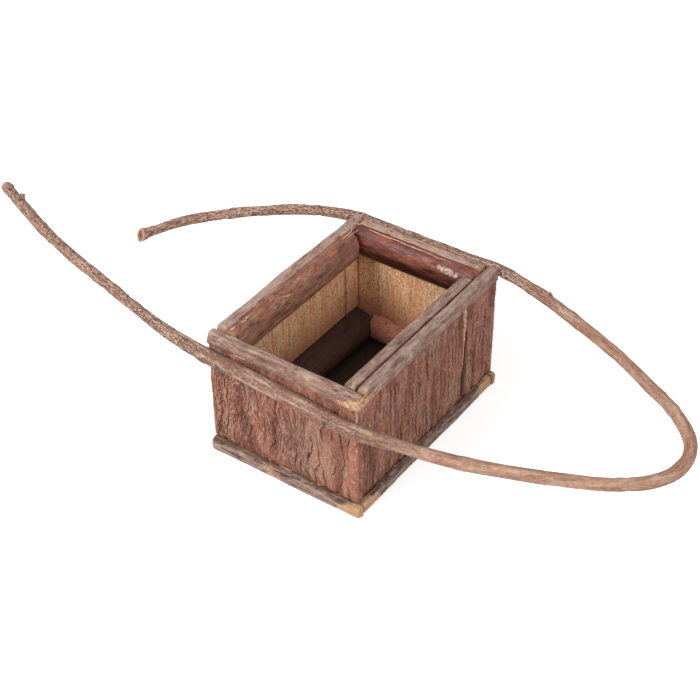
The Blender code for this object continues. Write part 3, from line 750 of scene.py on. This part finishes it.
# Flakes of thicker bark that lie along the vine
FLAKES = (
    [(-191.4, -41.6, 77.4, 0.25), (-180.6, -45.2, 76.6, 0.45), (-170.7, -48.3, 75.8, 0.3)],
    [(-136.0, -56.7, 73.2, 0.25), (-129.5, -57.9, 72.8, 0.45), (-123.8, -59.1, 72.4, 0.3)],
    [(-120.4, -56.5, 74.5, 0.25), (-112.2, -58.4, 74.0, 0.45), (-103.2, -60.4, 73.5, 0.3)],
    [(62.0, 68.2, 75.3, 0.25), (71.0, 66.6, 74.9, 0.45), (78.6, 64.9, 74.4, 0.5)],
    [(89.4, 62.0, 73.9, 0.12), (95.0, 60.1, 73.2, 0.4), (105.4, 56.5, 72.4, 0.3)],
    [(153.3, 37.2, 69.3, 0.25), (160.6, 33.5, 68.8, 0.45), (167.0, 30.2, 68.3, 0.3)],
    # the swollen bark at the near tip
    [(-222.6, -25.2, 80.6, 0.35), (-219.4, -26.4, 80.9, 0.5), (-215.4, -28.4, 80.6, 0.2)],
    [(-222.8, -29.4, 80.4, 0.4), (-219.6, -31.0, 80.0, 0.45), (-214.6, -32.4, 79.6, 0.2)],
)


def stick_curve(name, routes):
    """Smooth curves through points, each of which has a place in millimetres and a thickness."""
    curve = bpy.data.curves.new(name, "CURVE")
    curve.dimensions = "3D"
    curve.resolution_u = 12
    for points in routes:
        spline = curve.splines.new("BEZIER")
        spline.bezier_points.add(len(points) - 1)
        for point, (x, y, z, thick) in zip(spline.bezier_points, points):
            point.co = (x * MM, y * MM, z * MM)
            point.radius = thick
            point.handle_left_type = point.handle_right_type = "AUTO"
    return curve


dry_vine, given = new_tree(
    "dry_vine",
    {"Radius": 3.4 * MM, "Ridge Spacing": 1.2 * MM, "Ridge Length": 8 * MM, "Ridge Height": 0.5 * MM,
     "Flake Step": 0.3 * MM, "Crust": 0.55 * MM, "Knot Spacing": 74 * MM, "Slant": 0.45},
)
seed = given["Seed"]


def even_line(curve, step):
    """A curve in even steps."""
    values = {"Curve": curve, "Length": step}
    return add(curve.tree, "GeometryNodeResampleCurve", values, mode="LENGTH")


line = even_line(given["Geometry"], 0.7 * MM)
line = store(line, "along", add(dry_vine, "GeometryNodeInputTangent"), "FLOAT_VECTOR")
run, whole = run_along(dry_vine), add(dry_vine, "GeometryNodeSplineParameter", out="Factor")
line = store(line, "to_end", (whole.work("MINIMUM", 1 - whole)) * run / whole.work("MAXIMUM", 0.0001))
swell = 1 + (noise(vector(dry_vine, run / (15 * MM), 0, 0), seed, 2.0) - 0.5) * 0.09
knot = abs((run / given["Knot Spacing"]).work("FRACT") - 0.5).ramp(0.05, 0.0) * 0.07
flare = (whole.work("MAXIMUM", 0.9) - 0.9).ramp(0.0935, 0.1) * 0.3
thick = add(dry_vine, "GeometryNodeInputRadius") * (swell + knot + flare)
stick = tube(line, {"Resolution": 40, "Radius": given["Radius"]}, thick)
run, turn, to_end = named(dry_vine, "run"), named(dry_vine, "turn") * math.tau, named(dry_vine, "to_end")
round_y, round_z = turn.work("COSINE") * given["Radius"], turn.work("SINE") * given["Radius"]


def along_vine(divide_run, divide_round, layer):
    """A place on the vine, counted in pattern sizes along and round it."""
    return vector(dry_vine, run / divide_run, round_y / divide_round, round_z / divide_round + layer)


# The bend is nearly smooth, the front is worn, and the back and both free legs are crusty.
right, back, _ = add(dry_vine, "GeometryNodeInputPosition").split()
legs = right.ramp(-30 * MM, -70 * MM).work("MAXIMUM", back.ramp(-50 * MM, 50 * MM))
rough = right.ramp(110 * MM, 40 * MM) * (legs * 0.68 + 0.12) + 0.12
ridges = noise(along_vine(given["Ridge Length"], given["Ridge Spacing"], 0.0), seed, 3.0, 0.6)
crust = noise(along_vine(2.2 * MM, 1.1 * MM, 10.0), seed, 4.0, 0.65)
plates = noise(along_vine(11 * MM, 3.0 * MM, 20.0), seed, 2.0)
shed = noise(along_vine(24 * MM, 6.5 * MM, 30.0), seed, 1.0)
flaked = plates.ramp(0.52, 0.55) * rough
crack = abs(noise(along_vine(22 * MM, 1.8 * MM, 40.0), seed, 1.0) - 0.5).ramp(0.03, 0.0)
out = given["Ridge Height"] * (0.35 - ridges) * (0.5 + rough * 0.7) - given["Crust"] * (crust - 0.4) * rough
out = out - given["Flake Step"] * (flaked + shed.ramp(0.5, 0.515) * 0.6) - crack * rough * (0.25 * MM)


def outwards(tree, out):
    """A step out of the surface, as long as out."""
    values = {0: add(tree, "GeometryNodeInputNormal"), "Scale": out}
    return add(tree, "ShaderNodeVectorMath", values, operation="SCALE")


offset, along = outwards(dry_vine, out), named(dry_vine, "along", "FLOAT_VECTOR")
# The saw cuts are slanted and frayed.
slant = to_end.ramp(6 * MM, 0.0) * (round_z * given["Slant"] + (crust - 0.5) * (1.6 * MM))
offset = add(dry_vine, "ShaderNodeVectorMath", {0: along, 1: slant, 2: offset}, operation="MULTIPLY_ADD")
stick = store(stick, "lay", vector(dry_vine, run, round_y, round_z), "FLOAT_VECTOR")
stick = store(stick, "raw", to_end.ramp(1.2 * MM, 0.2 * MM))
stick = store(stick, "crack", (crack.work("MAXIMUM", crust.ramp(0.5, 0.72) * 0.75)) * rough)
stick = store(stick, "peeled", flaked)
stick = store(stick, "rough", rough)
in_front = right.ramp(-100 * MM, -60 * MM) * right.ramp(90 * MM, 50 * MM) * back.ramp(-45 * MM, -60 * MM)
stick = store(stick, "grime", in_front)
stick = add(dry_vine, "GeometryNodeSetPosition", {"Geometry": stick, "Offset": offset})
end_tree(stick, given)

vine_bark, shader, lay = new_finish("vine_bark", 0.8)
tree = vine_bark.node_tree
rough = attribute(tree, "rough")
patches = noise(scaled(lay, 26 * MM, 5 * MM), 1.0, 3.0)
ruddy = noise(scaled(lay, 15 * MM, 3 * MM), 6.0, 3.0)
streaks = noise(scaled(lay, 9 * MM, 0.9 * MM), 2.0, 5.0, 0.65)
flecks = noise(scaled(lay, 1.5 * MM, 0.6 * MM), 3.0, 2.0, 0.6)
broad = noise(scaled(lay, 24 * MM, 2.2 * MM), 14.0, 3.0, 0.6)
scuffs = noise(scaled(lay, 14 * MM, 2.4 * MM), 9.0, 3.0, 0.6)
pits = noise(scaled(lay, 2.4 * MM, 0.9 * MM), 8.0, 1.5, 0.6)
smooth = mixed(patches.ramp(0.36, 0.64), colour(188, 148, 124), colour(160, 116, 92))
crusty = mixed(patches.ramp(0.36, 0.64), colour(180, 141, 122), colour(140, 102, 85))
skin = mixed(rough, smooth, crusty)
skin = mixed(ruddy.ramp(0.48, 0.64) * 0.6, skin, colour(168, 108, 78))
skin = mixed(attribute(tree, "peeled") * 0.5, skin, colour(180, 142, 118))
skin = mixed(scuffs.ramp(0.52, 0.64) * 0.5, skin, colour(208, 174, 152))
grime = attribute(tree, "grime")
skin = mixed(grime * 0.6, skin, colour(108, 78, 62))
marked = grime * 0.4 + 0.25
skin = mixed(broad.ramp(0.52, 0.59) * marked, skin, colour(206, 174, 150))
skin = mixed(broad.ramp(0.47, 0.4) * marked, skin, colour(104, 70, 56))
skin = mixed(streaks.ramp(0.5, 0.68) * 0.7, skin, colour(104, 70, 57))
skin = mixed(pits.ramp(0.49, 0.58) * (rough * 0.75 + 0.2), skin, colour(80, 53, 43))
skin = mixed(flecks.ramp(0.53, 0.62) * (rough * 0.8 + 0.1), skin, colour(228, 196, 176))
skin = mixed(attribute(tree, "crack").ramp(0.25, 1.0) * 0.75, skin, colour(84, 54, 44))
_, across, up = lay.split()
from_pith = (across * across + up * up) ** 0.5
timber = mixed(streaks.ramp(0.4, 0.7), colour(160, 104, 80), colour(116, 70, 54))
timber = mixed(from_pith.ramp(2.1 * MM, 3.1 * MM) * 0.8, timber, colour(214, 180, 156))
timber = mixed(from_pith.ramp(1.1 * MM, 0.5 * MM), timber, colour(62, 36, 28))
skin = mixed(attribute(tree, "raw").ramp(0.4, 0.8), skin, timber)
wear(shader, {"Base Color": skin, "Normal": relief(streaks + flecks * 0.7 + pits * 0.4, 0.45 * MM)})

vine = grow(
    "vine_piece", dry_vine, {"Radius": VINE_RADIUS * MM, "Seed": 2.0, "Material": vine_bark},
    start=stick_curve("vine_route", (route, SIDE_STUB, *FLAKES)),
)
settle(vine, "vine_bark", "bent_vine")


# ---- Torn wood and glue -------------------------------------------------------------------------
# Pale fibres stand out where bark was torn or cut: at the joint of the right wall, along the left rim
# and at the corners. A bead of dried glue fills the near corner of the rim.

torn_strand, given = new_tree(
    "torn_strand", {"Thickness": 1 * MM, "Unevenness": 0.8, "Lump Length": 2.6 * MM, "Lump Width": 0.9 * MM}
)
line = even_line(given["Geometry"], 0.3 * MM)
line = store(line, "thick", add(torn_strand, "GeometryNodeInputRadius"))
ring_size = {"Resolution": 14, "Radius": given["Thickness"]}
strand = tube(line, ring_size, named(torn_strand, "thick"))
run, turn, thick = (named(torn_strand, name) for name in ("run", "turn", "thick"))
x, y, z = add(torn_strand, "GeometryNodeInputPosition").split()
lay = vector(torn_strand, run + given["Seed"], turn.work("SINE") * thick * MM, x + y + z)
lumps = noise(scaled(lay, given["Lump Length"], given["Lump Width"]), given["Seed"], 3.0, 0.6)
out = (lumps - 0.5) * 2 * given["Unevenness"] * given["Thickness"] * thick
offset = outwards(torn_strand, out)
strand = store(strand, "lay", lay, "FLOAT_VECTOR")
strand = add(torn_strand, "GeometryNodeSetPosition", {"Geometry": strand, "Offset": offset})
end_tree(strand, given)

torn_wood, shader, lay = new_finish("torn_wood", 0.6)
fibre = noise(scaled(lay, 5 * MM, 0.4 * MM), 1.0, 4.0, 0.7)
stain = noise(scaled(lay, 4 * MM, 2 * MM), 2.0, 3.0)
pale = mixed(stain.ramp(0.42, 0.6), colour(222, 182, 152), colour(190, 142, 108))
pale = mixed(fibre.ramp(0.44, 0.66) * 0.75, pale, colour(132, 90, 68))
wear(shader, {"Base Color": pale, "Normal": relief(fibre + stain, 0.3 * MM)})

# Points of each strand, as the vine's: a place and a thickness
STRANDS = (
    # the bead of glue and torn wood round the near corner of the rim
    [(35, -65.6, 73.4, 0.3), (39, -65.6, 74.0, 0.9), (43, -65.4, 74.2, 1.5), (46, -64.8, 74.2, 1.9),
     (46.6, -60, 74.6, 1.5), (46.8, -55, 75.2, 0.8), (46.8, -49, 75.8, 0.3)],
    [(41, -65.8, 76.2, 0.3), (44.5, -65.4, 76.2, 1.1), (46.4, -63.4, 76.4, 1.0), (46.8, -58, 77, 0.3)],
    # the torn edge of the bark down the near corner, and along the tops of both sheets
    [(46.2, -65.6, 73.5, 0.9), (46.4, -65.8, 70, 0.6), (46.2, -65.9, 66, 0.55), (46.2, -65.9, 62, 0.2)],
    [(46.9, -62, 72.4, 0.7), (47.2, -56, 72.8, 0.5), (47.3, -50, 73.2, 0.45), (47.3, -44, 73.6, 0.2)],
    [(44, -65.9, 71.6, 0.7), (39, -66.0, 71.4, 0.4), (33, -66.0, 71.4, 0.15)],
    # the joint of the right wall, with a curled flake
    [(47.0, 31.4, 76, 0.3), (47.1, 31.3, 71, 1.2), (47.0, 31.8, 66, 1.15), (46.9, 32.2, 58, 0.85),
     (46.9, 32, 52, 0.65), (46.9, 32.6, 46, 0.35), (46.8, 32.6, 38, 0.3), (46.9, 33, 30, 0.1)],
    [(47.4, 29.4, 73.2, 0.3), (47.7, 31, 71.6, 0.8), (47.8, 32.5, 69.4, 0.9), (47.4, 33.2, 66.4, 0.3)],
    [(47.3, -21.5, 76.2, 0.1), (47.5, -19.8, 77.2, 0.35), (47.3, -18.2, 78.0, 0.1)],
    # along the left strip and rail
    [(-37.8, -58, 79.1, 0.35), (-37.1, -54.4, 79.4, 0.8), (-37.9, -51, 79.1, 0.25)],
    [(-37.4, -49, 79, 0.2), (-36.4, -46, 79.4, 0.5), (-37.2, -43.4, 79.1, 0.4), (-36.6, -40.6, 79, 0.15)],
    [(-36.2, -26.4, 79, 0.1), (-35.8, -24, 79.2, 0.3), (-36.3, -21.6, 79, 0.1)],
    [(-35.9, -3, 79, 0.15), (-35.2, -0.6, 79.4, 0.5), (-35.6, 2.2, 79, 0.15)],
    [(-44, 1.6, 79.9, 0.2), (-42.6, 0.8, 80.6, 0.6), (-41.2, 0, 80.2, 0.3)],
    [(-32.4, -17.4, 78.2, 0.15), (-31.2, -14.8, 77.8, 0.7), (-30.6, -12, 77.2, 0.15)],
    # pale ribbons and loose fibres at the far left corner
    [(-37.2, 41, 79.2, 0.2), (-37.1, 47, 79.8, 0.5), (-37.4, 53, 80, 0.3)],
    [(-35.8, 43, 78.6, 0.2), (-35.7, 48, 79, 0.45), (-36, 53, 79.4, 0.2)],
    [(-40.6, 55, 80.6, 0.2), (-38.4, 57.4, 81, 0.5), (-34, 58.6, 80.6, 0.2)],
    [(-36, 60, 80.2, 0.3), (-32.6, 59.6, 81, 0.3), (-30, 58, 80.8, 0.1)],
    # the frayed inner edge of the far strip
    [(-31, 56.6, 79.2, 0.3), (-22, 56, 79.6, 0.5), (-13, 56.6, 79.2, 0.35), (-4, 56, 79.4, 0.45),
     (6, 56.4, 79.2, 0.3), (14, 55.9, 79.4, 0.4), (22, 56.4, 79.2, 0.15)],
    [(-26, 60.4, 80.6, 0.2), (-17, 59.4, 80.9, 0.4), (-9, 60, 80.7, 0.3), (-1, 59, 80.8, 0.4),
     (8, 59.8, 80.6, 0.15)],
    [(2, 61.8, 80.4, 0.15), (11, 61, 80.7, 0.35), (20, 61.6, 80.4, 0.3), (30, 60.8, 80.4, 0.15)],
    # the lower edge of the far rail
    [(-32, 56.6, 61.6, 0.1), (-22, 56.8, 61.2, 0.3), (-10, 56.8, 60.4, 0.15)],
    # loose edges on the front foot strip
    [(-15, -66.6, 9.4, 0.15), (-9, -67.2, 9.2, 0.35), (-1, -67, 8.8, 0.15)],
    [(-13, -67.8, 7.4, 0.15), (-7, -68.2, 7.2, 0.3), (-1, -68, 6.8, 0.15)],
)
LOOSE_FIBRES = (
    # under the left rail, and standing up at the far left corner
    [(-33.6, -38, 63, 0.2), (-33.2, -37, 60, 0.45), (-33.4, -35.6, 56, 0.12)],
    [(-34.4, -36, 62, 0.15), (-34.4, -35, 59, 0.35), (-34.8, -34.4, 57, 0.1)],
    [(-40, 62, 80.2, 0.35), (-39.4, 64, 81.6, 0.25), (-38.6, 66.6, 82.8, 0.1)],
    [(-38, 61, 80.4, 0.3), (-37.6, 63, 81.4, 0.2), (-37.6, 64.6, 82.6, 0.1)],
)
depsgraph = bpy.context.evaluated_depsgraph_get()
carriers = [
    BVHTree.FromObject(piece, depsgraph)
    for piece in bpy.context.scene.objects if piece.name.endswith("_piece")
]


def touch(x, y, z, thick):
    """The nearest place on a finished piece, with the strand a little proud of it."""
    hits = (carrier.find_nearest(Vector((x, y, z)) * MM) for carrier in carriers)
    place, facing, *_ = min(hits, key=lambda hit: hit[3])
    return place / MM + facing * thick * 0.3


def laid(points):
    """A strand laid on what carries it, with one more point between each two."""
    dense = [points[0]]
    for last, point in zip(points, points[1:]):
        dense += [[(a + b) / 2 for a, b in zip(last, point)], point]
    return [(*touch(*point), point[3]) for point in dense]


def rooted(points):
    """A loose fibre, moved until its root touches what carries it."""
    shift = touch(*points[0]) - Vector(points[0][:3])
    return [(*(Vector(point[:3]) + shift), point[3]) for point in points]


strands = grow(
    "torn_strands_piece", torn_strand, {"Seed": 4.0, "Material": torn_wood},
    start=stick_curve("torn_routes", [*map(laid, STRANDS), *map(rooted, LOOSE_FIBRES)]),
)
settle(strands, "weathered_branch")


# ---- Nails --------------------------------------------------------------------------------------
# Small round-head steel nails, darkened with age, hold the vine: two to each long wall, with their
# heads in the bark. The pins of the rails and strips lie hidden, so their CAD solids stand for them
# and get the same steel.

SHANK_RADIUS, HEAD_RADIUS, HEAD_HEIGHT = 0.6 * MM, 1.15 * MM, 0.45 * MM
round_nail, given = new_tree(
    "round_nail", {"Shank Radius": SHANK_RADIUS, "Head Radius": HEAD_RADIUS, "Head Height": HEAD_HEIGHT}
)
aim = named(round_nail, "aim", "FLOAT_VECTOR")
stand = add(round_nail, "FunctionNodeAlignRotationToVector", {"Vector": aim}, axis="Z")
# a shank of length 1, which is stretched to its own length, and a dome for the head
cone = {
    "Vertices": 14, "Side Segments": 2, "Radius Top": given["Shank Radius"],
    "Radius Bottom": given["Shank Radius"] * 0.3, "Depth": 1.0,
}
shank = add(round_nail, "GeometryNodeMeshCone", cone)
shank = add(round_nail, "GeometryNodeTransform", {"Geometry": shank, "Translation": (0, 0, -1)})
ball = {"Segments": 24, "Rings": 12, "Radius": given["Head Radius"]}
dome = add(round_nail, "GeometryNodeMeshUVSphere", ball)
flat = vector(round_nail, 1, 1, given["Head Height"] / given["Head Radius"])
dome = add(round_nail, "GeometryNodeTransform", {"Geometry": dome, "Scale": flat})
joined = round_nail.nodes.new("GeometryNodeJoinGeometry")
for shape, stretch in ((shank, vector(round_nail, 1, 1, named(round_nail, "reach"))), (dome, (1, 1, 1))):
    values = {"Points": given["Geometry"], "Instance": shape, "Rotation": stand, "Scale": stretch}
    set_in = add(round_nail, "GeometryNodeInstanceOnPoints", values)
    round_nail.links.new(set_in.socket, joined.inputs[0])
end_tree(Field(round_nail, joined.outputs[0]), given)

nail_steel, shader, _ = new_finish("nail_steel", 0.45, 0.85)
rust = noise(scaled(object_place(nail_steel.node_tree), 0.7 * MM, 0.7 * MM), 0.0, 4.0, 0.6)
steel = mixed(rust.ramp(0.42, 0.6), colour(96, 86, 80), colour(92, 56, 40))
wear(shader, {"Base Color": steel, "Roughness": rust * 0.5 + 0.3, "Normal": relief(rust, 0.1 * MM, 0.5)})

# A nail's CAD box starts at the crown of its head, and its shank starts this much deeper.
HEAD_ROOM = 0.5 * MM
nail_points = bpy.data.meshes.new("nail_points")
nail_nodes = sorted(name for name in frame["nodes"] if name.startswith("nail_"))
heads, aims, reaches = [], [], []
for node in nail_nodes:
    wall = node.split("_")[2]
    low, high = wall_box(node, wall)
    middle = (low + high) / 2
    turn = Matrix.Rotation(math.radians(WALL_TURN[wall]), 3, "Z")
    heads.append(turn @ Vector((middle.x, low.y + HEAD_ROOM, middle.z)))
    aims.append(turn @ Vector((0, -1, 0)))
    reaches.append(high.y - low.y - HEAD_ROOM)
nail_points.from_pydata(heads, [], [])
nail_points.attributes.new("aim", "FLOAT_VECTOR", "POINT").data.foreach_set(
    "vector", [value for aim in aims for value in aim]
)
nail_points.attributes.new("reach", "FLOAT", "POINT").data.foreach_set("value", reaches)
nails = grow("nails_piece", round_nail, {"Material": nail_steel}, start=nail_points)
settle(nails, "nail_steel", *nail_nodes)
for pin in (node for name, node in frame["nodes"].items() if name.startswith("pin_")):
    pin.material_slots[0].material = nail_steel


# ---- Floor, light and camera --------------------------------------------------------------------
# A plain pale table under soft light from the front, seen from where the photograph was taken. The
# camera was fitted to the corners of the box, which gave its odd angles and its lens.

FLOOR_REACH, FLOOR_DROP = 3.0, 0.1 * MM
floor_mesh = bpy.data.meshes.new("floor")
corners = [(FLOOR_REACH * x, FLOOR_REACH * y, 0) for x, y in ((-1, -1), (1, -1), (1, 1), (-1, 1))]
floor_mesh.from_pydata(corners, [], [(0, 1, 2, 3)])
floor = bpy.data.objects.new("floor", floor_mesh)
floor.location.z = -FLOOR_DROP
bpy.context.scene.collection.objects.link(floor)


def background_rays(tree):
    """1 on the rays that show the background: from the camera, off gloss or through glass."""
    rays = tree.nodes.new("ShaderNodeLightPath")
    kinds = ("Camera", "Glossy", "Transmission")
    camera, gloss, glass = (Field(tree, rays.outputs[f"Is {kind} Ray"]) for kind in kinds)
    return camera.work("MAXIMUM", gloss).work("MAXIMUM", glass)


paper = bpy.data.materials.new("white_paper")
paper.use_nodes = True
tree = paper.node_tree
tree.nodes.clear()
matt = add(tree, "ShaderNodeBsdfDiffuse", {"Color": (0.8, 0.8, 0.8, 1)})
glow = add(tree, "ShaderNodeEmission", {"Color": (1, 1, 1, 1), "Strength": background_rays(tree) * 0.6})
both = add(tree, "ShaderNodeAddShader", {0: matt, 1: glow})
outlet = tree.nodes.new("ShaderNodeOutputMaterial")
tree.links.new(both.socket, outlet.inputs["Surface"])
floor_mesh.materials.append(paper)

world = bpy.data.worlds.new("room")
bpy.context.scene.world = world
world.use_nodes = True
tree = world.node_tree
ROOM_LIGHT = 0.39
sky = tree.nodes["Background"]
sky.inputs["Color"].default_value = (1, 1, 1, 1)
strength = background_rays(tree) * (1 - ROOM_LIGHT) + ROOM_LIGHT
tree.links.new(strength.socket, sky.inputs["Strength"])


def add_lamp(name, place, size, watts):
    """A round lamp that shines at the middle of the box."""
    light = bpy.data.lights.new(name, "AREA")
    light.shape = "DISK"
    light.size = size
    light.energy = watts
    lamp = bpy.data.objects.new(name, light)
    lamp.location = place
    lamp.rotation_euler = (Vector((0, 0, 40 * MM)) - Vector(place)).to_track_quat("-Z", "Y").to_euler()
    bpy.context.scene.collection.objects.link(lamp)


add_lamp("key_lamp", (-0.4, -1.1, 0.95), size=0.6, watts=14.6)
add_lamp("fill_lamp", (1.0, -0.5, 0.8), size=0.8, watts=6.8)


def add_camera(azimuth, elevation, roll, distance, shift_right, shift_up, lens):
    """Looks at the front, turned to the right by the azimuth and tipped down, past the box's middle."""
    azimuth, elevation, roll = (math.radians(angle) for angle in (azimuth, elevation, roll))
    level = math.cos(elevation)
    ahead = Vector((-math.sin(azimuth) * level, math.cos(azimuth) * level, -math.sin(elevation)))
    right = Vector((math.cos(azimuth), math.sin(azimuth), 0))
    right = Matrix.Rotation(-roll, 3, ahead) @ right
    up = right.cross(ahead)
    data = bpy.data.cameras.new("photo_camera")
    data.sensor_width = 36
    data.lens = lens
    camera = bpy.data.objects.new("photo_camera", data)
    place = Vector((0, 0, 40 * MM)) + right * shift_right + up * shift_up - ahead * distance
    camera.matrix_world = Matrix.Translation(place) @ Matrix((right, up, -ahead)).transposed().to_4x4()
    bpy.context.scene.collection.objects.link(camera)
    bpy.context.scene.camera = camera


add_camera(
    azimuth=35.37, elevation=38.85, roll=-0.38, distance=0.8763, shift_right=-3.27 * MM, shift_up=4.1 * MM,
    lens=84.73,
)
bpy.context.scene.view_settings.view_transform = "Standard"
